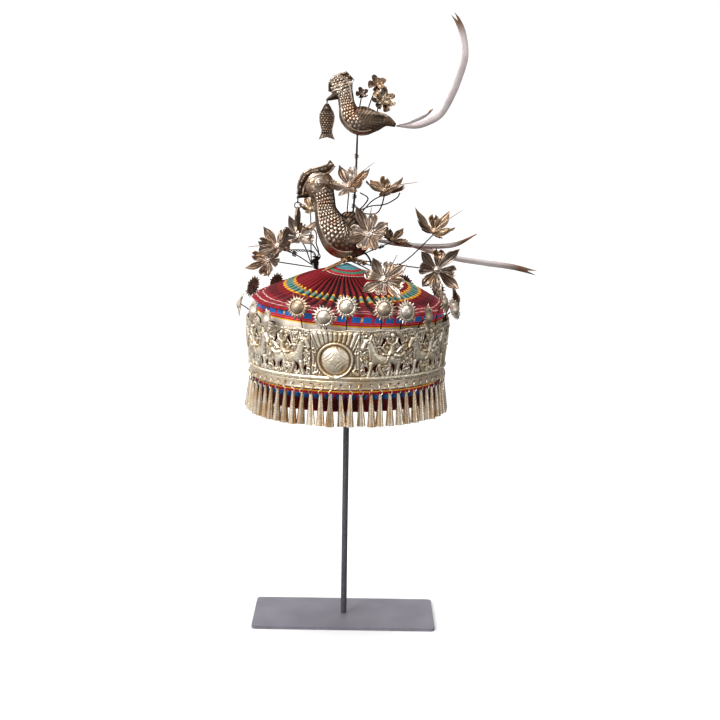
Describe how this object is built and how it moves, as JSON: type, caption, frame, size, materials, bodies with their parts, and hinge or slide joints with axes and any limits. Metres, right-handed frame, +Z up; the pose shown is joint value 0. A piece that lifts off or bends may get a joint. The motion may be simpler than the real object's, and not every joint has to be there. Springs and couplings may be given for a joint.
{
  "type": "tribal hat on a display stand",
  "caption": "Pleated cloth festival hat with a pierced silver band, a fringe of cones, rosettes, wired flowers and two birds, held up by a plate and rod stand.",
  "frame": {"origin": "middle of the base plate's underside, on the axis of the rod and the hat", "axes": "+Z up along the rod, the hat's front with the medallion faces -Y, the birds look towards -X"},
  "size_m": [0.2929, 0.2136, 0.5881],
  "materials": {
    "stand_steel": "dark speckled",
    "cloth": "pleated maroon cloth with coloured bands",
    "band_silver": "aged warm silver, satin",
    "flower_silver": "aged silver, partly tarnished",
    "bird_bronze": "dark gilt with chased scales",
    "feather_silver": "pale thin strip with gilt tips",
    "dark_wire": "blackened wire"
  },
  "bodies": {
    "root": {"stand_plate": "stand_steel", "stand_rod": "stand_steel", "hat_rest": "stand_steel", "crown": "cloth", "side_wall": "cloth", "band": "band_silver", "cone_fringe_front": "band_silver", "cone_fringe_back": "band_silver", "rosette_01": "flower_silver", "rosette_02": "flower_silver", "rosette_03": "flower_silver", "rosette_04": "flower_silver", "rosette_05": "flower_silver", "rosette_06": "flower_silver", "rosette_07": "flower_silver", "rosette_08": "flower_silver", "rosette_09": "flower_silver", "rosette_10": "flower_silver", "rosette_11": "flower_silver", "rosette_12": "flower_silver", "rosette_13": "flower_silver", "rosette_14": "flower_silver", "rosette_15": "flower_silver", "rosette_16": "flower_silver", "rosette_17": "flower_silver", "rosette_18": "flower_silver", "flower_01": "flower_silver", "flower_02": "flower_silver", "flower_03": "flower_silver", "flower_04": "flower_silver", "flower_05": "flower_silver", "flower_06": "flower_silver", "flower_07": "flower_silver", "flower_08": "flower_silver", "flower_09": "flower_silver", "flower_10": "flower_silver", "flower_11": "flower_silver", "apex_knot": "dark_wire", "left_coil": "dark_wire", "bird_lower": "bird_bronze", "bird_upper": "bird_bronze", "bird_post": "dark_wire", "fish_lower": "bird_bronze", "fish_upper": "bird_bronze", "ring_lower_a": "dark_wire", "ring_lower_b": "dark_wire", "ring_upper": "dark_wire", "feather_01": "feather_silver", "feather_02": "feather_silver", "feather_03": "feather_silver", "feather_04": "feather_silver", "bud": "flower_silver", "leaf": "flower_silver", "blossom": "flower_silver"}
  },
  "joints": []
}
